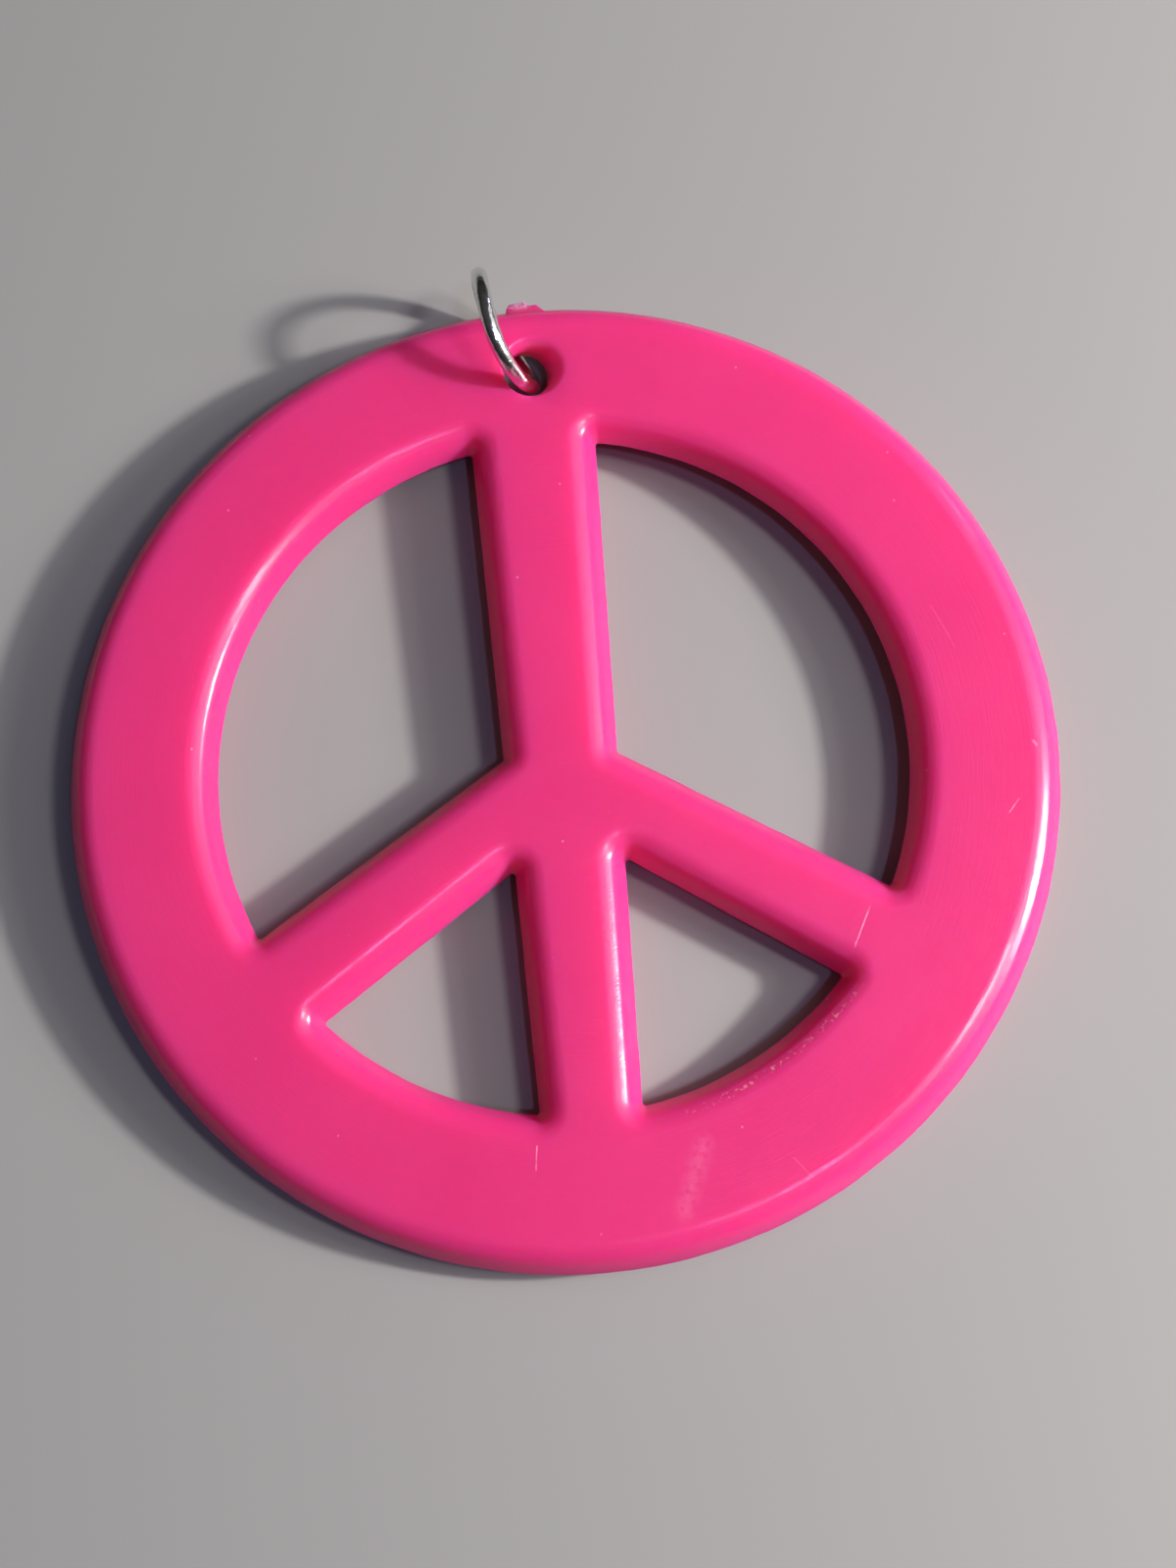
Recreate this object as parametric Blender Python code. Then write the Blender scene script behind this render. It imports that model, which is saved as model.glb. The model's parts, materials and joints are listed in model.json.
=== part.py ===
"""Round pendant with a peace symbol cut through it, on a split wire jump ring.

Metres, +Z up. The pendant lies flat: its back face is in the plane Z = 0, its centre is
the origin, its front faces +Z, and the hanging hole is towards +Y. Two pieces: the
one-piece plastic moulding and the wire ring, which passes through the hole and round the rim.
"""

import math

import bmesh
import bpy
from mathutils import Matrix, Vector

MM = 0.001

# Plan of the moulding, measured at its widest line, half way through the thickness.
OUTER_R = 35.0 * MM
OPENING_R = 24.5 * MM  # the arcs of the four openings
STEM_HALF = 4.11 * MM  # half-width of the upright at the centre
STEM_TAPER = 0.0205  # the upright's half-width grows this much per unit of +Y
ARM_TOP_Y = 3.58 * MM  # where the arms' upper edges would meet on the centre line
ARM_TOP_SLOPE = 0.625
ARM_LOW_Y = -4.32 * MM
ARM_LOW_SLOPE = 0.679
CORNER_R = 0.25 * MM

# Section of every edge, as (inset from the widest line, depth below the face): a shallow
# band and then a steep one. Front and back are alike, as in a mould that parts half way.
THICKNESS = 4.0 * MM
EDGE_SECTION = [
    (1.95 * MM, 0.0),
    (1.65 * MM, 0.05 * MM),
    (1.1 * MM, 0.25 * MM),
    (0.85 * MM, 0.42 * MM),
    (0.2 * MM, 1.7 * MM),
    (0.0, 1.88 * MM),
]

# Hanging hole. It leans: its mouth on the back is nearer the outer edge.
HOLE_R = 2.0 * MM
HOLE_EDGE_R = 0.55 * MM
HOLE_FRONT = Vector((0.24 * MM, 29.44 * MM))
HOLE_BACK = Vector((-0.62 * MM, 30.54 * MM))
HOLE_EDGE_STEPS = 3

# Broken-off gate of the mould, on the outer edge above the hole: a stub that narrows towards
# its tip, torn off lower on its +X half.
GATE_WIDTH = 2.4 * MM
GATE_THICK = 1.3 * MM
GATE_PROUD = 0.75 * MM
GATE_SUNK = 0.6 * MM
GATE_TIP_WIDTH = 0.62  # of the width at the root
GATE_TIP_THICK = 0.7
GATE_TORN = 0.75  # of the full depth, where it is torn lower
GATE_BEVEL = 0.12 * MM

# Jump ring: round wire, its ends meeting at a narrow split, sprung a little out of flat.
WIRE_R = 0.575 * MM
RING_R = 4.42 * MM  # to the middle of the wire
RING_CENTRE = Vector((-1.7 * MM, 32.8 * MM, 3.64 * MM))
RING_YAW = math.radians(18.6)  # the ring's axis, turned from +X towards +Y
RING_LEAN = math.radians(9.2)  # and lifted towards +Z
RING_BEND = 0.4 * MM
BEND_PHASE = math.radians(38)
SPLIT_AT = math.radians(-80)
SPLIT_GAP = 0.12 * MM
RING_POINTS = 61

OUTER_POINTS = 96
ARC_STEP = math.radians(5)
CORNER_STEPS = 3
HOLE_POINTS = 24
SHARP_ANGLE = math.radians(40)


def clear_scene():
    for obj in list(bpy.data.objects):
        bpy.data.objects.remove(obj, do_unlink=True)


def make_material(name, colour, roughness, metallic=0.0):
    material = bpy.data.materials.new(name)
    material.use_nodes = True
    shader = material.node_tree.nodes["Principled BSDF"]
    shader.inputs["Base Color"].default_value = (*colour, 1.0)
    shader.inputs["Roughness"].default_value = roughness
    shader.inputs["Metallic"].default_value = metallic
    return material


def polar(radius, angle):
    return Vector((math.cos(angle), math.sin(angle))) * radius


def section_rows():
    """(height, inset) of each row of an edge, from the front face round to the back."""
    front = [(THICKNESS - depth, inset) for inset, depth in EDGE_SECTION]
    back = [(THICKNESS - height, inset) for height, inset in reversed(front)]
    return front + back


def outer_path():
    """The disc's edge, as (point, way into the plastic)."""
    turns = (math.tau * i / OUTER_POINTS for i in range(OUTER_POINTS))
    return [(polar(OUTER_R, angle), polar(-1, angle)) for angle in turns]


def line_meets_arc(point, direction, radius):
    """The crossing of a line with a circle about the origin, ahead of the line's point."""
    along = direction.normalized()
    half = point.dot(along)
    return point + along * (math.sqrt(half * half - point.length_squared + radius**2) - half)


def round_corner(corner, before, after):
    """The corner once for each step of the turn from one side's way to the next side's."""
    ways = (before.slerp(after, step / CORNER_STEPS) for step in range(CORNER_STEPS + 1))
    return [(corner, way) for way in ways]


def opening_path(upper):
    """An opening on the +X side, CORNER_R smaller all round, as (point, way into the plastic)."""
    sign = 1 if upper else -1
    slope = ARM_TOP_SLOPE if upper else ARM_LOW_SLOPE
    arm_y = (ARM_TOP_Y if upper else ARM_LOW_Y) + sign * CORNER_R * math.hypot(1, slope)
    stem_x = STEM_HALF + CORNER_R * math.hypot(1, STEM_TAPER)
    radius = OPENING_R - CORNER_R
    inner_y = (arm_y - slope * stem_x) / (1 + slope * STEM_TAPER)
    inner = Vector((stem_x + STEM_TAPER * inner_y, inner_y))
    on_stem = line_meets_arc(inner, Vector((STEM_TAPER, 1.0)) * sign, radius)
    on_arm = line_meets_arc(inner, Vector((1.0, -slope)), radius)
    stem_way = Vector((-1.0, STEM_TAPER)).normalized()
    arm_way = Vector((slope, 1.0)).normalized() * -sign
    start = math.atan2(on_arm.y, on_arm.x)
    sweep = math.atan2(on_stem.y, on_stem.x) - start
    steps = round(abs(sweep) / ARC_STEP)
    arc = [polar(1, start + sweep * i / steps) for i in range(steps + 1)]
    path = round_corner(inner, stem_way, arm_way) + round_corner(on_arm, arm_way, arc[0])
    path += [(way * radius, way) for way in arc[1:-1]]
    return path + round_corner(on_stem, arc[-1], stem_way)


def mirrored(path):
    return [(Vector((-point.x, point.y)), Vector((-way.x, way.y))) for point, way in path]


def edge_rows(path, offset):
    """Outlines of an edge along a path, each with its height."""
    return [
        (height, [point + way * (offset + inset) for point, way in path])
        for height, inset in section_rows()
    ]


def hole_rows():
    """Outlines of the hanging hole from front to back, each with its height."""
    depths = []
    for step in range(HOLE_EDGE_STEPS + 1):
        angle = 0.5 * math.pi * step / HOLE_EDGE_STEPS
        depths.append((HOLE_EDGE_R * (1 - math.cos(angle)), HOLE_EDGE_R * (1 - math.sin(angle))))
    levels = [(THICKNESS - down, flare) for down, flare in depths]
    levels += [(down, flare) for down, flare in reversed(depths)]
    rows = []
    for height, flare in levels:
        middle = HOLE_BACK.lerp(HOLE_FRONT, height / THICKNESS)
        turns = (math.tau * i / HOLE_POINTS for i in range(HOLE_POINTS))
        rows.append((height, [middle + polar(HOLE_R + flare, angle) for angle in turns]))
    return rows


def skin_rows(mesh, rows):
    """Walls between successive closed outlines. Returns the first and last rows' edges."""
    rings = []
    for height, outline in rows:
        rings.append([mesh.verts.new((point.x, point.y, height)) for point in outline])
    for upper, lower in zip(rings, rings[1:]):
        for i in range(len(upper)):
            j = (i + 1) % len(upper)
            mesh.faces.new((upper[i], upper[j], lower[j], lower[i]))
    ends = []
    for ring in (rings[0], rings[-1]):
        ends.append([mesh.edges.get((ring[i - 1], ring[i])) for i in range(len(ring))])
    return ends


def add_object(name, mesh, material):
    data = bpy.data.meshes.new(name)
    mesh.to_mesh(data)
    mesh.free()
    data.materials.append(material)
    obj = bpy.data.objects.new(name, data)
    bpy.context.scene.collection.objects.link(obj)
    return obj


def make_pendant(material):
    mesh = bmesh.new()
    families = [edge_rows(outer_path(), 0.0), hole_rows()]
    for upper in (True, False):
        right = opening_path(upper)
        families += [edge_rows(right, CORNER_R), edge_rows(mirrored(right), CORNER_R)]
    front_edges, back_edges = [], []
    for rows in families:
        first, last = skin_rows(mesh, rows)
        front_edges += first
        back_edges += last
    bmesh.ops.triangle_fill(mesh, use_beauty=True, edges=front_edges)
    bmesh.ops.triangle_fill(mesh, use_beauty=True, edges=back_edges)
    bmesh.ops.recalc_face_normals(mesh, faces=mesh.faces)
    pendant = add_object("pendant", mesh, material)
    union = pendant.modifiers.new("gate", "BOOLEAN")
    union.operation = "UNION"
    union.solver = "EXACT"
    union.object = make_gate(material)
    pendant.data.shade_smooth()
    pendant.data.set_sharp_from_angle(angle=SHARP_ANGLE)
    return pendant


def make_gate(material):
    """The gate's stub. It starts inside the rim, so that a union joins the two."""
    mesh = bmesh.new()
    bmesh.ops.create_cube(mesh, size=1.0)
    depth = GATE_PROUD + GATE_SUNK
    root = Vector((0.0, OUTER_R - GATE_SUNK, 0.5 * THICKNESS))
    for vert in mesh.verts:
        at_tip = vert.co.y > 0
        torn = at_tip and vert.co.x > 0
        vert.co.x *= GATE_WIDTH * (GATE_TIP_WIDTH if at_tip else 1.0)
        vert.co.y = depth * (GATE_TORN if torn else 1.0) if at_tip else 0.0
        vert.co.z *= GATE_THICK * (GATE_TIP_THICK if at_tip else 1.0)
        vert.co += root
    bmesh.ops.bevel(
        mesh, geom=mesh.edges[:], offset=GATE_BEVEL, segments=1, affect="EDGES"
    )
    gate = add_object("gate_shape", mesh, material)
    gate.hide_render = True
    gate.display_type = "WIRE"
    return gate


def ring_frame():
    """Columns: outward across the rim, up, and the ring's own axis."""
    flat = math.cos(RING_LEAN)
    axis = Vector((math.cos(RING_YAW) * flat, math.sin(RING_YAW) * flat, math.sin(RING_LEAN)))
    outward = Vector((0, 0, 1)).cross(axis).normalized()
    up = axis.cross(outward)
    return Matrix((outward, up, axis)).transposed()


def make_jump_ring(material):
    """The ring's origin is its centre and its local Z is its axis, on which it turns."""
    curve = bpy.data.curves.new("jump_ring", "CURVE")
    curve.dimensions = "3D"
    curve.bevel_depth = WIRE_R
    curve.bevel_resolution = 3
    curve.use_fill_caps = True
    spline = curve.splines.new("POLY")
    spline.points.add(RING_POINTS - 1)
    gap = SPLIT_GAP / RING_R
    for i, point in enumerate(spline.points):
        angle = SPLIT_AT + 0.5 * gap + (math.tau - gap) * i / (RING_POINTS - 1)
        bend = RING_BEND * math.cos(2 * (angle - BEND_PHASE))
        point.co = (RING_R * math.cos(angle), RING_R * math.sin(angle), bend, 1.0)
    spline.use_smooth = True
    curve.materials.append(material)
    ring = bpy.data.objects.new("jump_ring", curve)
    ring.location = RING_CENTRE
    ring.rotation_euler = ring_frame().to_euler()
    bpy.context.scene.collection.objects.link(ring)
    return ring


def main():
    clear_scene()
    make_pendant(make_material("pink_plastic", (0.82, 0.03, 0.2), 0.28))
    make_jump_ring(make_material("plated_wire", (0.72, 0.71, 0.69), 0.16, metallic=1.0))


main()
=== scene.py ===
"""Looks for a hot-pink plastic peace-symbol pendant on its wire jump ring.

Metres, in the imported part's frame: the pendant's back face is in Z = 0, its front faces +Z,
and the jump ring is towards +Y. Two pieces replace the two CAD nodes: a finer moulding, with
its parting line, torn gate, nicks and slightly uneven faces, and a finer ring of drawn wire.
"""

import json
import math

import bmesh
import bpy
import numpy as np
from mathutils import Matrix, Vector, noise
from mathutils.geometry import delaunay_2d_cdt


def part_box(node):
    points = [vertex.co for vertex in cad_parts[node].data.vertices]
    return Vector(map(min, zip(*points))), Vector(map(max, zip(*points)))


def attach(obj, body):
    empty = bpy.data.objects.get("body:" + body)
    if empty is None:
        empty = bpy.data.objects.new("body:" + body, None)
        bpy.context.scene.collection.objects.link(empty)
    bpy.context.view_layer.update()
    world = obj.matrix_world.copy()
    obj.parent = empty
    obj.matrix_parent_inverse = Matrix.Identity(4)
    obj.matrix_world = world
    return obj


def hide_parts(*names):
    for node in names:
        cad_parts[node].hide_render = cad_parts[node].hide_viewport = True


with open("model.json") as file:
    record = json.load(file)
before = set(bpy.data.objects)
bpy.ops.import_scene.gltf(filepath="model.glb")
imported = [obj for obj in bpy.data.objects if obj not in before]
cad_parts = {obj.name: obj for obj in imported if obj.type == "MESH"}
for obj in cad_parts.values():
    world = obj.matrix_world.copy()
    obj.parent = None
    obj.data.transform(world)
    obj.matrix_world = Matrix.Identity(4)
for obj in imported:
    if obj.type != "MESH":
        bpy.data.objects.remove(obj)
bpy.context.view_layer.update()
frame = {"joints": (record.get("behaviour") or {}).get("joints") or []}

MM = 0.001
PENDANT_LOW, PENDANT_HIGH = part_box("pendant")
RING_LOW, RING_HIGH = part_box("jump_ring")
RING_JOINT = frame["joints"][0]

# Plan of the moulding at its widest line. Pairs are for the left and the right side: in the
# photo the right one measures a little narrower.
OUTER_R = PENDANT_HIGH.x
OPENING_R = 0.7 * OUTER_R
OPENING_CENTRE = Vector((0.0, 0.14 * MM))
STEM_HALF = (4.11 * MM, 3.93 * MM)
STEM_TAPER = 0.0205
ARM_TOP_Y = (3.56 * MM, 3.29 * MM)
ARM_TOP_SLOPE = 0.625
ARM_LOW_Y = (-4.26 * MM, -4.14 * MM)
ARM_LOW_SLOPE = 0.679
CORNER_R = 0.25 * MM
CORNER_STEPS = 10

# Section of an edge, as (inset, depth below the face): a flat shoulder, an edge that falls
# away ever more steeply, and the flash that the mould's parting line leaves round the middle.
THICKNESS = PENDANT_HIGH.z - PENDANT_LOW.z
MIDDLE = 0.5 * THICKNESS
FLASH_WIDE = 0.05 * MM
FLASH_HALF = 0.09 * MM
EDGE_SECTION = [
    (2.35 * MM, 0.0),
    (1.95 * MM, 0.0),
    (1.5 * MM, 0.1 * MM),
    (0.95 * MM, 0.37 * MM),
    (0.6 * MM, 0.78 * MM),
    (FLASH_WIDE, MIDDLE - FLASH_HALF - 0.07 * MM),
    (0.0, MIDDLE - FLASH_HALF),
    (0.0, MIDDLE),
]
EDGE_CUTS = [cut * MM for cut in (0.2, 0.22, 0.2, 0.25, 0.02, 0.03)]  # each rounding's reach
EDGE_ROW_SPACING = 0.27 * MM
EDGE_ROUNDING_STEPS = 4
FLASH_WAVES = [(0.03 * MM, 2.2 * MM), (0.018 * MM, 0.7 * MM)]  # (height, grain) of each layer

# Hanging hole, leaning towards the outer edge at the back. Its mouths flare smoothly, and
# the front one more so above and on the right.
HOLE_R = 1.78 * MM
HOLE_FLARE = 0.66 * MM
HOLE_FLARE_BACK = 0.35 * MM
HOLE_FLARE_DEEP = 1.5 * MM
HOLE_FRONT = Vector((0.24, 29.40)) * MM
HOLE_BACK = Vector((-0.62, 30.50)) * MM
HOLE_MOUTH_SHIFT = Vector((0.19, 0.46)) * MM
HOLE_STEPS = 12
HOLE_POINTS = 56

# Torn gate on the outer edge above the hole. Its heights are in shares of GATE_PROUD.
GATE_HALF = 1.25 * MM
GATE_THICK_HALF = 0.8 * MM
GATE_PROUD = PENDANT_HIGH.y - OUTER_R
GATE_ROOT = 1.2 * MM
GATE_STEP_AT = 0.15  # of its half-width: beyond this on the +X side it is torn lower
GATE_TORN_LOW = 0.55
GATE_SLUMP = 0.2  # how much lower it is at its -X end
GATE_TEARS = [(0.22, 0.5 * MM), (0.1, 0.2 * MM)]

# Unevenness of the faces.
FACE_WAVES = [(0.014 * MM, 11 * MM), (0.005 * MM, 3.5 * MM)]

# How far apart the mesh's points are: along edges, at the gate, and on the flat faces.
SPACING = 0.55 * MM
GATE_SPACING = 0.15 * SPACING
GATE_SPACED_TO = 1.3 * GATE_HALF
FACE_GRID = 1.1 * MM
FACE_GRID_CLEAR = 0.45 * FACE_GRID

# Jump ring.
WIRE_R = 0.575 * MM
RING_R = 4.42 * MM
RING_BEND = 0.4 * MM
BEND_PHASE = math.radians(38)
SPLIT_AT = math.radians(-80)
SPLIT_GAP = 0.12 * MM
END_CHAMFER = 0.09 * MM
WIRE_STEPS = 180
WIRE_SIDES = 24

# Marks on the front face, scratches and nicks and one painted sheen: both ends in millimetres,
# half the width, and how strong.
MARKS = [
    ((20.7, -11.2), (18.9, -14.8), 0.06, 0.9),
    ((-3.9, -26.3), (-4.1, -27.9), 0.06, 0.9),
    ((31.4, -5.5), (30.6, -6.4), 0.05, 0.8),
    ((32.9, -1.5), (33.1, -1.8), 0.16, 1.0),
    ((33.5, -4.0), (33.6, -4.1), 0.14, 1.0),
    ((27.0, 9.0), (28.4, 5.6), 0.04, 0.5),
    # a painted sheen: a pale smear that stands in for a gloss reflection, not a scratch
    ((7.3, -27.2), (5.6, -31.4), 1.0, 0.3),
    ((13.2, -28.6), (14.6, -30.3), 0.05, 0.6),
]

MARK_GRAIN = 0.5 * MM  # of the noise that breaks them up

# Chips along the inner edge of the rim, at the lower right opening, with a painted glint in their
# paler colour. A BAND or REACH here and below is where a look is full and where it has faded out.
CHIPPED_R = OPENING_R + 1.25 * MM
CHIPPED_BAND = (0.1 * MM, 0.35 * MM)
CHIPPED_AT = Vector((13.5 * MM, -22.4 * MM, THICKNESS))
CHIPPED_REACH = (5 * MM, 8.5 * MM)
CHIP_GRAIN = 0.28 * MM

# Whitened plastic at the torn gate.
STRESSED_AT = Vector((-0.25 * MM, OUTER_R + 0.5 * MM, MIDDLE))
STRESSED_REACH = (0.5 * MM, 1.3 * MM)
STRESSED_GRAIN = 0.3 * MM

# Rubbing round the rim: the grain across it, and how little of the way round it counts.
RUBBED_GRAIN = 0.13 * MM
RUBBED_STRETCH = 0.04

# Dust: one speck a cell, its inner and outer radius in cells, and which cells have one.
DUST_CELL = 1.7 * MM
DUST_SIZE = (0.03, 0.07)
DUST_CHOSEN = (0.7, 0.74)

# Plastic: the darkest and the lightest pink, their green and part of their blue a painted sheen,
# and the paler pinks of what spoils it or is painted on it.
CLOUD_GRAIN = 14 * MM
PINK_DARK = (0.745, 0.033, 0.202, 1)
PINK_LIGHT = (0.815, 0.047, 0.24, 1)
DUST_PINK = (1.0, 0.5, 0.66, 1)
STRESSED_PINK = (1.0, 0.55, 0.72, 1)
# Scratches, and the painted sheen smear among the marks.
SCRATCH_AND_SHEEN_PINK = (1.0, 0.4, 0.6, 1)
# Chips, with their painted glint.
CHIP_AND_GLINT_PINK = (1.0, 0.4, 0.42, 1)
MARK_SHOWS = 0.6  # how far a scratch, the painted sheen or a chip's painted glint goes to its own colour
DUST_SHOWS = 0.5

# Plastic's gloss, from the least worn place to the most worn. The coat is on the faces and
# fades out on the way down an edge.
WORN_GRAINS = (6 * MM, 1.1 * MM)
PLASTIC_ROUGHNESS = (0.28, 0.44)
PLASTIC_COAT = (0.8, 0.26)
COAT_DEPTH = (0.38 * MM, 0.5 * MM)

# Light scattered inside the plastic: how far, and the share of that for red, green and blue.
SCATTER_REACH = 3.6 * MM
SCATTER_SHARES = (1.0, 0.08, 0.45)

# Bumps: the grain of the plastic's slight waviness, and how deep each kind is.
PEEL_GRAIN = 1.6 * MM
PEEL_DEEP = 0.011 * MM
RUBBED_DEEP = 0.012 * MM
GROOVE_DEEP = 0.025 * MM
DENT_DEEP = 0.05 * MM
BRUSHED_DEEP = 0.002 * MM

# Wire: the darkest and the lightest metal, its gloss, its dents and the lines of its drawing.
WIRE_DARK = (0.66, 0.645, 0.62, 1)
WIRE_LIGHT = (0.93, 0.925, 0.91, 1)
WIRE_ROUGHNESS = (0.12, 0.26)
DENT_GRAIN = 0.45 * MM
DRAWN_GRAIN = 0.07 * MM
DRAWN_STRETCH = 0.06

# Table top.
TABLE_COLOUR = (0.34, 0.33, 0.318, 1)
FLOOR_CLEAR = 0.02 * MM
FLOOR_REACH = 0.8

# Lamps: name, direction from the object, distance and diameter in metres, watts, colour.
LAMPS = [
    ("key", (3.846, -0.319, 2.252), 0.447, 0.032, 2.1, (1.0, 0.97, 0.95)),
    ("key_glow", (3.846, -0.319, 2.252), 0.447, 0.14, 1.0, (1.0, 0.97, 0.97)),
    ("right_fill", (1.0, 0.2, 1.0), 0.6, 0.6, 0.7, (1.0, 0.97, 1.0)),
    ("second", (0.362, -0.103, 0.577), 0.69, 0.1, 1.0, (1.0, 0.98, 1.0)),
    ("cool_high", (0.2, -0.27, 0.94), 0.8, 0.035, 0.6, (0.45, 0.5, 1.0)),
    ("cool_back", (0.7, 0.6, 0.38), 0.8, 0.06, 0.2, (0.7, 0.72, 1.0)),
]

# World: its colour low down and overhead.
SKY_LOW = (0.12, 0.12, 0.13, 1)
SKY_HIGH = (0.93, 0.95, 1.0, 1)
SKY_STRENGTH = 0.055

# Camera, fitted to the photo's outlines: lens in millimetres, place, turn.
CAMERA_LENS = 51.75
CAMERA_AT = Vector((2.754, -36.701, 157.36)) * MM
CAMERA_TURN = [math.radians(a) for a in (12.776, 1.539, -5.006)]


def polar(radius, angle):
    return Vector((math.cos(angle), math.sin(angle))) * radius


def front_point(x, y):
    """A point of the front face, given in millimetres."""
    return Vector((x * MM, y * MM, THICKNESS))


def rounded(before, corner, after, steps):
    """Points of the rounding of a corner, both ends included."""
    shares = (step / steps for step in range(steps + 1))
    return [before.lerp(corner, t).lerp(corner.lerp(after, t), t) for t in shares]


def section_rows():
    """(height, inset) of each row of an edge from front to back."""
    points = [Vector(point) for point in EDGE_SECTION]
    front = [points[0]]
    for before, corner, after, cut in zip(points, points[1:], points[2:], EDGE_CUTS):
        start = corner + (before - corner).normalized() * cut
        end = corner + (after - corner).normalized() * cut
        fill = int((start - front[-1]).length / EDGE_ROW_SPACING)
        last = front[-1]
        front += [last.lerp(start, i / (fill + 1)) for i in range(1, fill + 1)]
        front += rounded(start, corner, end, EDGE_ROUNDING_STEPS)
    rows = [(MIDDLE - depth, inset) for inset, depth in front]
    rows += [(-height, inset) for height, inset in reversed(rows)]
    return [(MIDDLE + height, inset) for height, inset in rows]


def outer_path():
    """The disc's edge as (point, way into the plastic), closer together at the gate."""
    angles = []
    angle = 0.0
    while angle < math.tau - 1e-6:
        angles.append(angle)
        near_gate = abs(angle - 0.5 * math.pi) * OUTER_R < GATE_SPACED_TO
        angle += (GATE_SPACING if near_gate else SPACING) / OUTER_R
    return [(polar(OUTER_R, a), polar(-1, a)) for a in angles]


def line_meets_arc(point, direction, radius):
    """The crossing of a line with a circle about the origin, ahead of the line's point."""
    along = direction.normalized()
    half = point.dot(along)
    return point + along * (math.sqrt(half * half - point.length_squared + radius**2) - half)


def round_corner(corner, before, after):
    """The corner once for each step of the turn from one side's way to the next side's."""
    ways = (before.slerp(after, step / CORNER_STEPS) for step in range(CORNER_STEPS + 1))
    return [(corner, way) for way in ways]


def straight_side(start, end, way):
    """Points between two corners, not counting the corners."""
    count = round((end - start).length / SPACING)
    return [(start.lerp(end, i / count), way) for i in range(1, count)]


def opening_path(upper, right):
    """An opening drawn on +X, CORNER_R smaller all round, as (point, way into the plastic)."""
    sign = 1 if upper else -1
    slope = ARM_TOP_SLOPE if upper else ARM_LOW_SLOPE
    arm_y = (ARM_TOP_Y if upper else ARM_LOW_Y)[right] + sign * CORNER_R * math.hypot(1, slope)
    stem_x = STEM_HALF[right] + CORNER_R * math.hypot(1, STEM_TAPER)
    radius = OPENING_R - CORNER_R
    inner_y = (arm_y - slope * stem_x) / (1 + slope * STEM_TAPER)
    inner = Vector((stem_x + STEM_TAPER * inner_y, inner_y))
    middle = OPENING_CENTRE
    on_stem = line_meets_arc(inner - middle, Vector((STEM_TAPER, 1.0)) * sign, radius)
    on_arm = line_meets_arc(inner - middle, Vector((1.0, -slope)), radius)
    stem_way = Vector((-1.0, STEM_TAPER)).normalized()
    arm_way = Vector((slope, 1.0)).normalized() * -sign
    start = math.atan2(on_arm.y, on_arm.x)
    sweep = math.atan2(on_stem.y, on_stem.x) - start
    steps = round(abs(sweep) * radius / SPACING)
    arc = [polar(1, start + sweep * i / steps) for i in range(steps + 1)]
    on_arm, on_stem = on_arm + middle, on_stem + middle
    path = round_corner(inner, stem_way, arm_way) + straight_side(inner, on_arm, arm_way)
    path += round_corner(on_arm, arm_way, arc[0])
    path += [(middle + way * radius, way) for way in arc[1:-1]]
    path += round_corner(on_stem, arc[-1], stem_way)
    return path + straight_side(on_stem, inner, stem_way)


def mirrored(path):
    return [(Vector((-point.x, point.y)), Vector((-way.x, way.y))) for point, way in path]


def ripple(place, layers):
    """Unevenness at a place: the sum of several layers of noise."""
    return sum(height * noise.noise(place / grain) for height, grain in layers)


def flash(place):
    """How far the flash of the parting line stands out or falls short at a place."""
    return ripple(place.to_3d(), FLASH_WAVES)


def edge_rows(path, offset):
    """(height, path) of each row of an edge, front to back, its flash left uneven."""
    rows = []
    for height, inset in section_rows():
        ridge = max(0.0, 1 - inset / FLASH_WIDE)
        moved = [(p + way * (offset + inset - ridge * flash(p)), way) for p, way in path]
        rows.append((height, moved))
    return rows


def hole_rows():
    """(height, path) of each row of the hanging hole, front to back."""
    levels = []
    for step in range(HOLE_STEPS + 1):
        angle = 0.5 * math.pi * step / HOLE_STEPS
        levels.append((HOLE_FLARE_DEEP * (1 - math.cos(angle)), 1 - math.sin(angle)))
    front = [(down, HOLE_FLARE * share, HOLE_MOUTH_SHIFT * share) for down, share in levels]
    back = [(THICKNESS - down, HOLE_FLARE_BACK * share, Vector((0, 0))) for down, share in levels]
    ways = [polar(1, math.tau * i / HOLE_POINTS) for i in range(HOLE_POINTS)]
    rows = []
    for down, flare, shift in front + back[::-1]:
        middle = HOLE_FRONT.lerp(HOLE_BACK, down / THICKNESS) + shift
        rows.append((THICKNESS - down, [(middle + way * (HOLE_R + flare), way) for way in ways]))
    return rows


def skin_rows(mesh, rows):
    """Walls between successive closed rows. Returns every row's vertices."""
    rings = []
    for height, path in rows:
        rings.append([mesh.verts.new((point.x, point.y, height)) for point, _ in path])
    for upper, lower in zip(rings, rings[1:]):
        for i in range(len(upper)):
            j = (i + 1) % len(upper)
            mesh.faces.new((upper[i], upper[j], lower[j], lower[i]))
    return rings


def grid_points(outer, holes):
    """Points of a triangular grid on the flat face, clear of every edge of it."""
    reach = int(OUTER_R / FACE_GRID) + 2
    rows, columns = np.mgrid[-reach : reach + 1, -reach : reach + 1]
    across = (columns + 0.5 * (rows % 2)).ravel()
    grid = np.stack([across, (rows * math.sqrt(0.75)).ravel()], axis=1) * FACE_GRID
    for path in [outer] + holes:
        points = np.array([point for point, _ in path])
        ways = np.array([way for _, way in path])
        depth = grid @ ways.T - (points * ways).sum(axis=1)
        nearest = depth.min(axis=1) if path is outer else depth.max(axis=1)
        grid = grid[nearest > FACE_GRID_CLEAR]
    return [Vector(point) for point in grid]


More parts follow.
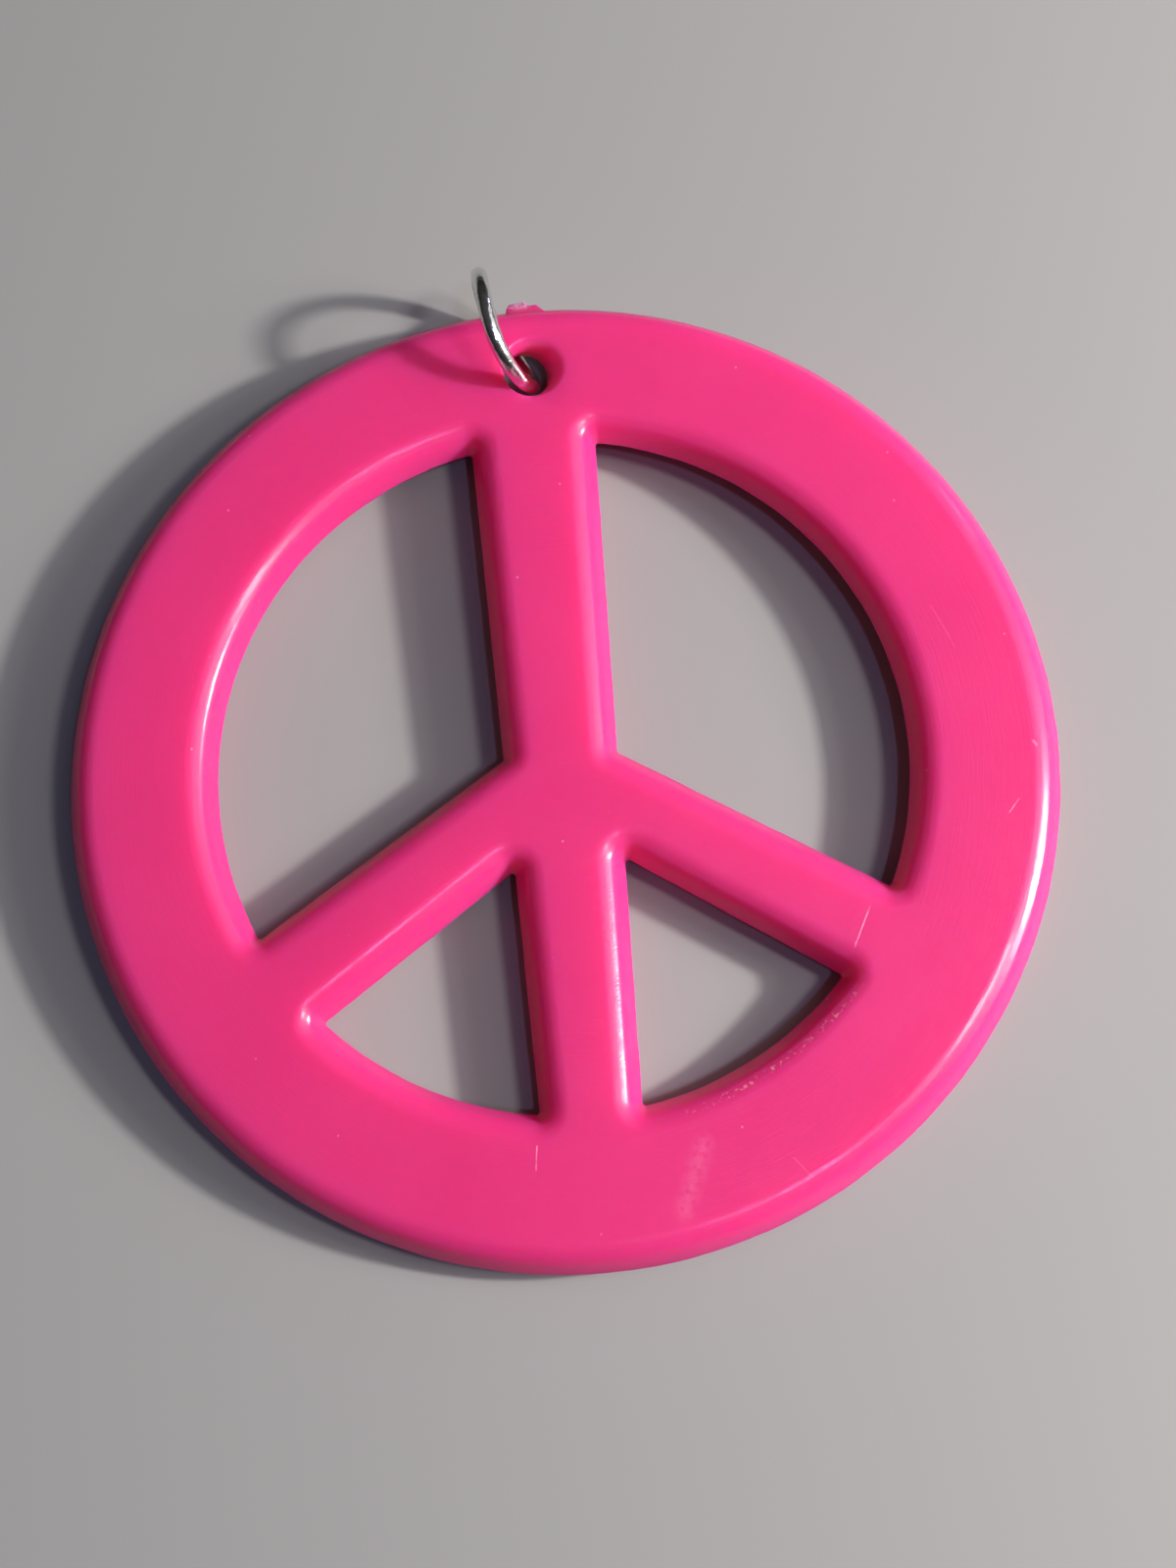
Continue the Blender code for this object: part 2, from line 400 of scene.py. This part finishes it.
def fill_face(mesh, loops, paths, height):
    """A flat face inside the first loop and outside the others, with a grid of points in it."""
    border = [vert for loop in loops for vert in loop]
    owner = [index for index, loop in enumerate(loops) for _ in loop]
    edges = []
    for loop in loops:
        first = len(edges)
        edges += [(first + i, first + (i + 1) % len(loop)) for i in range(len(loop))]
    flat = [vert.co.to_2d() / MM for vert in border]
    flat += [point / MM for point in grid_points(paths[0], paths[1:])]
    points, _, faces, origins, _, _ = delaunay_2d_cdt(flat, edges, [], 1, 1e-4)
    verts = []
    owners = []
    for point, origin in zip(points, origins):
        known = [i for i in origin if i < len(border)]
        verts.append(border[known[0]] if known else mesh.verts.new((*(point * MM), height)))
        owners.append(owner[known[0]] if known else None)
    for face in faces:
        held = {owners[i] for i in face}
        if len(held) > 1 or held & {0, None}:
            mesh.faces.new([verts[i] for i in face])


def gate_front(place):
    """How far out the torn gate reaches at a point of the edge, or 0 beside the gate."""
    along = place.x / GATE_HALF
    across = (place.z - MIDDLE) / GATE_THICK_HALF
    if abs(along) > 1 or abs(across) > 1:
        return 0.0
    stub = 1.0 if along < GATE_STEP_AT else GATE_TORN_LOW
    stub -= GATE_SLUMP * smooth_step(along, -0.2, -0.9)
    stub += ripple(place, GATE_TEARS)
    return OUTER_R + GATE_PROUD * stub * (1 - along**10) * math.sqrt(1 - across**2)


def smooth_step(value, low, high):
    t = min(max((value - low) / (high - low), 0.0), 1.0)
    return t * t * (3 - 2 * t)


def weather(mesh):
    """The torn gate, and faces that aren't quite flat."""
    for vert in mesh.verts:
        place = vert.co.copy()
        vert.co += vert.normal * ripple(place, FACE_WAVES)
        if place.y > OUTER_R - GATE_ROOT:
            vert.co.y = max(vert.co.y, gate_front(place))


def add_object(name, mesh, material):
    data = bpy.data.meshes.new(name)
    mesh.to_mesh(data)
    mesh.free()
    data.materials.append(material)
    data.shade_smooth()
    obj = bpy.data.objects.new(name, data)
    bpy.context.scene.collection.objects.link(obj)
    return obj


def make_pendant(material):
    mesh = bmesh.new()
    families = [edge_rows(outer_path(), 0.0), hole_rows()]
    for upper in (True, False):
        left = mirrored(opening_path(upper, False))
        families += [edge_rows(opening_path(upper, True), CORNER_R), edge_rows(left, CORNER_R)]
    skins = [skin_rows(mesh, rows) for rows in families]
    for end, height in ((0, THICKNESS), (-1, 0.0)):
        loops = [rings[end] for rings in skins]
        fill_face(mesh, loops, [rows[end][1] for rows in families], height)
    bmesh.ops.recalc_face_normals(mesh, faces=mesh.faces)
    mesh.normal_update()
    weather(mesh)
    return add_object("peace_pendant", mesh, material)


def ring_axes():
    """Columns: outward across the rim, up, and the ring's own axis."""
    axis = Vector(RING_JOINT["axis"]).normalized()
    outward = Vector((0, 0, 1)).cross(axis).normalized()
    return Matrix((outward, axis.cross(outward), axis)).transposed()


def ring_line(angle):
    """The wire's centre line in the ring's own axes: a circle sprung a little out of flat."""
    bend = RING_BEND * math.cos(2 * (angle - BEND_PHASE))
    return Vector((RING_R * math.cos(angle), RING_R * math.sin(angle), bend))


def make_ring(material):
    mesh = bmesh.new()
    wire = mesh.verts.layers.float_vector.new("wire")
    axes = ring_axes()
    centre = Vector(RING_JOINT["pos_m"])
    gap = SPLIT_GAP / RING_R
    chamfer = END_CHAMFER / RING_R
    start, end = SPLIT_AT + 0.5 * gap, SPLIT_AT - 0.5 * gap + math.tau
    first, last = start + chamfer, end - chamfer
    stations = [(start, WIRE_R - END_CHAMFER)]
    shares = (i / WIRE_STEPS for i in range(WIRE_STEPS + 1))
    stations += [(first + (last - first) * share, WIRE_R) for share in shares]
    stations.append((end, WIRE_R - END_CHAMFER))
    rings = []
    for angle, radius in stations:
        along = (ring_line(angle + 1e-3) - ring_line(angle - 1e-3)).normalized()
        out = along.cross(Vector((0, 0, 1))).normalized()
        side = out.cross(along)
        ring = []
        for i in range(WIRE_SIDES):
            spoke = polar(radius, math.tau * i / WIRE_SIDES)
            local = ring_line(angle) + out * spoke.x + side * spoke.y
            vert = mesh.verts.new(centre + axes @ local)
            vert[wire] = (RING_R * angle, spoke.x, spoke.y)
            ring.append(vert)
        rings.append(ring)
    for a, b in zip(rings, rings[1:]):
        for i in range(WIRE_SIDES):
            j = (i + 1) % WIRE_SIDES
            mesh.faces.new((a[i], a[j], b[j], b[i]))
    mesh.faces.new(rings[0])
    mesh.faces.new(rings[-1])
    bmesh.ops.recalc_face_normals(mesh, faces=mesh.faces)
    return add_object("wire_jump_ring", mesh, material)


def new_material(name):
    material = bpy.data.materials.new(name)
    material.use_nodes = True
    return material, material.node_tree, material.node_tree.nodes["Principled BSDF"]


def add_node(tree, kind, inputs=None, **settings):
    """A shader node with its settings, and its inputs linked to sockets or set to values."""
    made = tree.nodes.new("ShaderNode" + kind)
    for name, value in settings.items():
        setattr(made, name, value)
    for slot, value in (inputs or {}).items():
        if isinstance(value, bpy.types.NodeSocket):
            tree.links.new(value, made.inputs[slot])
        else:
            made.inputs[slot].default_value = value
    return made


def grains(tree, place, size, detail=2.0):
    """Noise from 0 to 1 with grains of a size in metres."""
    made = add_node(tree, "TexNoise", {"Vector": place, "Scale": 1 / size, "Detail": detail})
    return made.outputs["Fac"]


def remap(tree, value, low, high, to_low=0.0, to_high=1.0):
    made = add_node(tree, "MapRange", {0: value, 1: low, 2: high, 3: to_low, 4: to_high})
    return made.outputs[0]


def calculate(tree, operation, first, second):
    return add_node(tree, "Math", {0: first, 1: second}, operation=operation).outputs[0]


def multiply(tree, first, second):
    return calculate(tree, "MULTIPLY", first, second)


def blend_colour(tree, share, first, second):
    """The first colour where share is 0, the second where it is 1."""
    made = add_node(tree, "Mix", {0: share, 6: first, 7: second}, data_type="RGBA")
    return made.outputs[2]


def near_point(tree, place, point, inner, outer):
    """1 within the inner distance of a point, falling to 0 at the outer one."""
    apart = add_node(tree, "VectorMath", {0: place, 1: point}, operation="DISTANCE")
    return remap(tree, apart.outputs["Value"], inner, outer, 1.0, 0.0)


def near_line(tree, place, start, end, half_width):
    """1 on the line between two points, falling to 0 at half_width from it."""
    way = (end - start).normalized()
    offset = add_node(tree, "VectorMath", {0: place, 1: start}, operation="SUBTRACT").outputs[0]
    along = add_node(tree, "VectorMath", {0: offset, 1: way}, operation="DOT_PRODUCT")
    held = add_node(tree, "Clamp", {0: along.outputs["Value"], 1: 0.0, 2: (end - start).length})
    foot = add_node(tree, "VectorMath", {0: way, "Scale": held.outputs[0]}, operation="SCALE")
    apart = add_node(tree, "VectorMath", {0: offset, 1: foot.outputs[0]}, operation="DISTANCE")
    return remap(tree, apart.outputs["Value"], 0.0, half_width, 1.0, 0.0)


def disc_radius(tree, place):
    """How far a place is from the disc's axis."""
    flat = add_node(tree, "VectorMath", {0: place, 1: (1, 1, 0)}, operation="MULTIPLY").outputs[0]
    return add_node(tree, "VectorMath", {0: flat}, operation="LENGTH").outputs["Value"]


def distance_from(tree, value, target):
    """The absolute difference of a socket's value from a number."""
    return calculate(tree, "ABSOLUTE", calculate(tree, "SUBTRACT", value, target), 0.0)


def round_the_rim(tree, place):
    """A place as (radius, way round the rim, height), the way round drawn out long."""
    split = add_node(tree, "SeparateXYZ", {0: place})
    radius = disc_radius(tree, place)
    angle = calculate(tree, "ARCTAN2", split.outputs[1], split.outputs[0])
    way = multiply(tree, angle, RUBBED_STRETCH * OUTER_R)
    return add_node(tree, "CombineXYZ", {0: radius, 1: way, 2: split.outputs[2]}).outputs[0]


def chips_and_glints(tree, place):
    """Chips along the lower part of the rim's inner edge, on the front, also masking their
    painted glint.
    """
    off_line = distance_from(tree, disc_radius(tree, place), CHIPPED_R)
    band = remap(tree, off_line, *CHIPPED_BAND, 1.0, 0.0)
    stretch = near_point(tree, place, CHIPPED_AT, *CHIPPED_REACH)
    spots = remap(tree, grains(tree, place, CHIP_GRAIN, 1.0), 0.56, 0.68)
    return multiply(tree, multiply(tree, band, stretch), spots)


def pink_plastic():
    material, tree, shader = new_material("pink_plastic_look")
    place = add_node(tree, "TexCoord").outputs["Object"]
    # Both pinks carry a painted sheen in their green and part of their blue.
    cloudy = grains(tree, place, CLOUD_GRAIN)
    colour = blend_colour(tree, cloudy, PINK_DARK, PINK_LIGHT)
    dust = add_node(tree, "TexVoronoi", {"Vector": place, "Scale": 1 / DUST_CELL})
    speck = remap(tree, dust.outputs["Distance"], *DUST_SIZE, 1.0, 0.0)
    chosen = add_node(tree, "SeparateColor", {0: dust.outputs["Color"]}).outputs[0]
    speck = multiply(tree, speck, remap(tree, chosen, *DUST_CHOSEN))
    colour = blend_colour(tree, multiply(tree, speck, DUST_SHOWS), colour, DUST_PINK)
    patches = remap(tree, grains(tree, place, STRESSED_GRAIN), 0.3, 0.55)
    stressed = near_point(tree, place, STRESSED_AT, *STRESSED_REACH)
    stressed = multiply(tree, stressed, patches)
    colour = blend_colour(tree, stressed, colour, STRESSED_PINK)
    # Scratches and nicks, and one painted sheen smear, all drawn paler.
    scratches_and_sheen = 0.0
    for start, end, half_width, strength in MARKS:
        mark = near_line(tree, place, front_point(*start), front_point(*end), half_width * MM)
        mark = multiply(tree, mark, strength)
        scratches_and_sheen = calculate(tree, "MAXIMUM", scratches_and_sheen, mark)
    broken = remap(tree, grains(tree, place, MARK_GRAIN), 0.3, 0.55)
    scratches_and_sheen = multiply(tree, scratches_and_sheen, broken)
    scratch_and_sheen_share = multiply(tree, scratches_and_sheen, MARK_SHOWS)
    colour = blend_colour(tree, scratch_and_sheen_share, colour, SCRATCH_AND_SHEEN_PINK)
    # Chips, sunk in by the bump below, with a painted glint in their paler colour.
    chip_and_glint_mask = chips_and_glints(tree, place)
    chip_glint_share = multiply(tree, chip_and_glint_mask, MARK_SHOWS)
    colour = blend_colour(tree, chip_glint_share, colour, CHIP_AND_GLINT_PINK)
    tree.links.new(colour, shader.inputs["Base Color"])

    worn = multiply(tree, *[grains(tree, place, size, 4.0) for size in WORN_GRAINS])
    dulled = remap(tree, worn, 0.1, 0.45, *PLASTIC_ROUGHNESS)
    tree.links.new(dulled, shader.inputs["Roughness"])
    height = add_node(tree, "SeparateXYZ", {0: place}).outputs[2]
    off_middle = distance_from(tree, height, MIDDLE)
    full, none = COAT_DEPTH
    polished = remap(tree, off_middle, MIDDLE - none, MIDDLE - full)
    coat = multiply(tree, polished, remap(tree, worn, 0.15, 0.4, *PLASTIC_COAT))
    tree.links.new(coat, shader.inputs["Coat Weight"])

    rubbed = grains(tree, round_the_rim(tree, place), RUBBED_GRAIN, 3.0)
    waves = grains(tree, place, PEEL_GRAIN, 4.0)
    peel = add_node(tree, "Bump", {"Height": waves, "Distance": PEEL_DEEP})
    rubbing = {"Height": rubbed, "Distance": RUBBED_DEEP, "Normal": peel.outputs[0]}
    peel = add_node(tree, "Bump", rubbing)
    harmed = calculate(tree, "MAXIMUM", scratches_and_sheen, chip_and_glint_mask)
    sunken = {"Height": harmed, "Distance": GROOVE_DEEP, "Normal": peel.outputs[0]}
    groove = add_node(tree, "Bump", sunken, invert=True)
    tree.links.new(groove.outputs[0], shader.inputs["Normal"])
    tree.links.new(groove.outputs[0], shader.inputs["Coat Normal"])

    shader.inputs["IOR"].default_value = 1.5
    shader.inputs["Specular IOR Level"].default_value = 0.32
    shader.inputs["Coat Roughness"].default_value = 0.18
    shader.inputs["Subsurface Weight"].default_value = 1.0
    shader.inputs["Subsurface Radius"].default_value = SCATTER_SHARES
    shader.inputs["Subsurface Scale"].default_value = SCATTER_REACH
    return material


def plated_wire():
    material, tree, shader = new_material("plated_wire_look")
    place = add_node(tree, "TexCoord").outputs["Object"]
    along = add_node(tree, "Attribute", attribute_name="wire").outputs["Vector"]
    drawn = add_node(tree, "Mapping", {0: along, 3: (DRAWN_STRETCH, 1.0, 1.0)}).outputs[0]
    lines = grains(tree, drawn, DRAWN_GRAIN, 3.0)
    dents = grains(tree, place, DENT_GRAIN, 3.0)
    colour = blend_colour(tree, dents, WIRE_DARK, WIRE_LIGHT)
    tree.links.new(colour, shader.inputs["Base Color"])
    polish = remap(tree, lines, 0.3, 0.7, *WIRE_ROUGHNESS)
    tree.links.new(polish, shader.inputs["Roughness"])
    dented = add_node(tree, "Bump", {"Height": dents, "Distance": DENT_DEEP})
    brushing = {"Height": lines, "Distance": BRUSHED_DEEP, "Normal": dented.outputs[0]}
    brushed = add_node(tree, "Bump", brushing)
    tree.links.new(brushed.outputs[0], shader.inputs["Normal"])
    shader.inputs["Metallic"].default_value = 1
    return material


def add_area(name, towards, distance, size, power, colour):
    """A round soft lamp in a direction from the object, aimed at it."""
    data = bpy.data.lights.new(name, "AREA")
    data.shape = "DISK"
    data.size = size
    data.energy = power
    data.color = colour
    lamp = bpy.data.objects.new(name, data)
    away = Vector(towards).normalized()
    lamp.location = away * distance
    lamp.rotation_euler = away.to_track_quat("Z", "Y").to_euler()
    bpy.context.scene.collection.objects.link(lamp)


def make_lights():
    for lamp in LAMPS:
        add_area(*lamp)
    world = bpy.data.worlds.new("studio")
    world.use_nodes = True
    tree = world.node_tree
    background = tree.nodes["Background"]
    place = add_node(tree, "TexCoord").outputs["Generated"]
    split = add_node(tree, "SeparateXYZ", {0: place})
    ramp = add_node(tree, "ValToRGB", {0: split.outputs["Z"]})
    ramp.color_ramp.elements[0].position = 0.05
    ramp.color_ramp.elements[0].color = SKY_LOW
    ramp.color_ramp.elements[1].position = 0.95
    ramp.color_ramp.elements[1].color = SKY_HIGH
    tree.links.new(ramp.outputs["Color"], background.inputs["Color"])
    background.inputs["Strength"].default_value = SKY_STRENGTH
    bpy.context.scene.world = world


def make_floor():
    """A pale table top under the pendant's lower edge and the ring's lowest point."""
    edge_y = -(OUTER_R - EDGE_SECTION[1][0])
    ring_y = 0.5 * (RING_LOW.y + RING_HIGH.y)
    tilt = math.atan2(-RING_LOW.z, ring_y - edge_y)
    mesh = bmesh.new()
    bmesh.ops.create_grid(mesh, x_segments=1, y_segments=1, size=FLOOR_REACH)
    material, tree, shader = new_material("pale_table")
    shader.inputs["Base Color"].default_value = TABLE_COLOUR
    shader.inputs["Roughness"].default_value = 0.7
    floor = add_object("floor", mesh, material)
    floor.rotation_euler = (-tilt, 0, 0)
    floor.location = (0, edge_y, -FLOOR_CLEAR)


def make_camera():
    data = bpy.data.cameras.new("camera")
    data.lens = CAMERA_LENS
    data.clip_start = 0.01
    camera = bpy.data.objects.new("camera", data)
    camera.location = CAMERA_AT
    camera.rotation_euler = CAMERA_TURN
    bpy.context.scene.collection.objects.link(camera)
    bpy.context.scene.camera = camera


bpy.context.scene.view_settings.view_transform = "Standard"
make_camera()
make_lights()
make_floor()

pendant = make_pendant(pink_plastic())
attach(pendant, "pendant")
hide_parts("pendant")

ring = make_ring(plated_wire())
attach(ring, "jump_ring")
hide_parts("jump_ring")
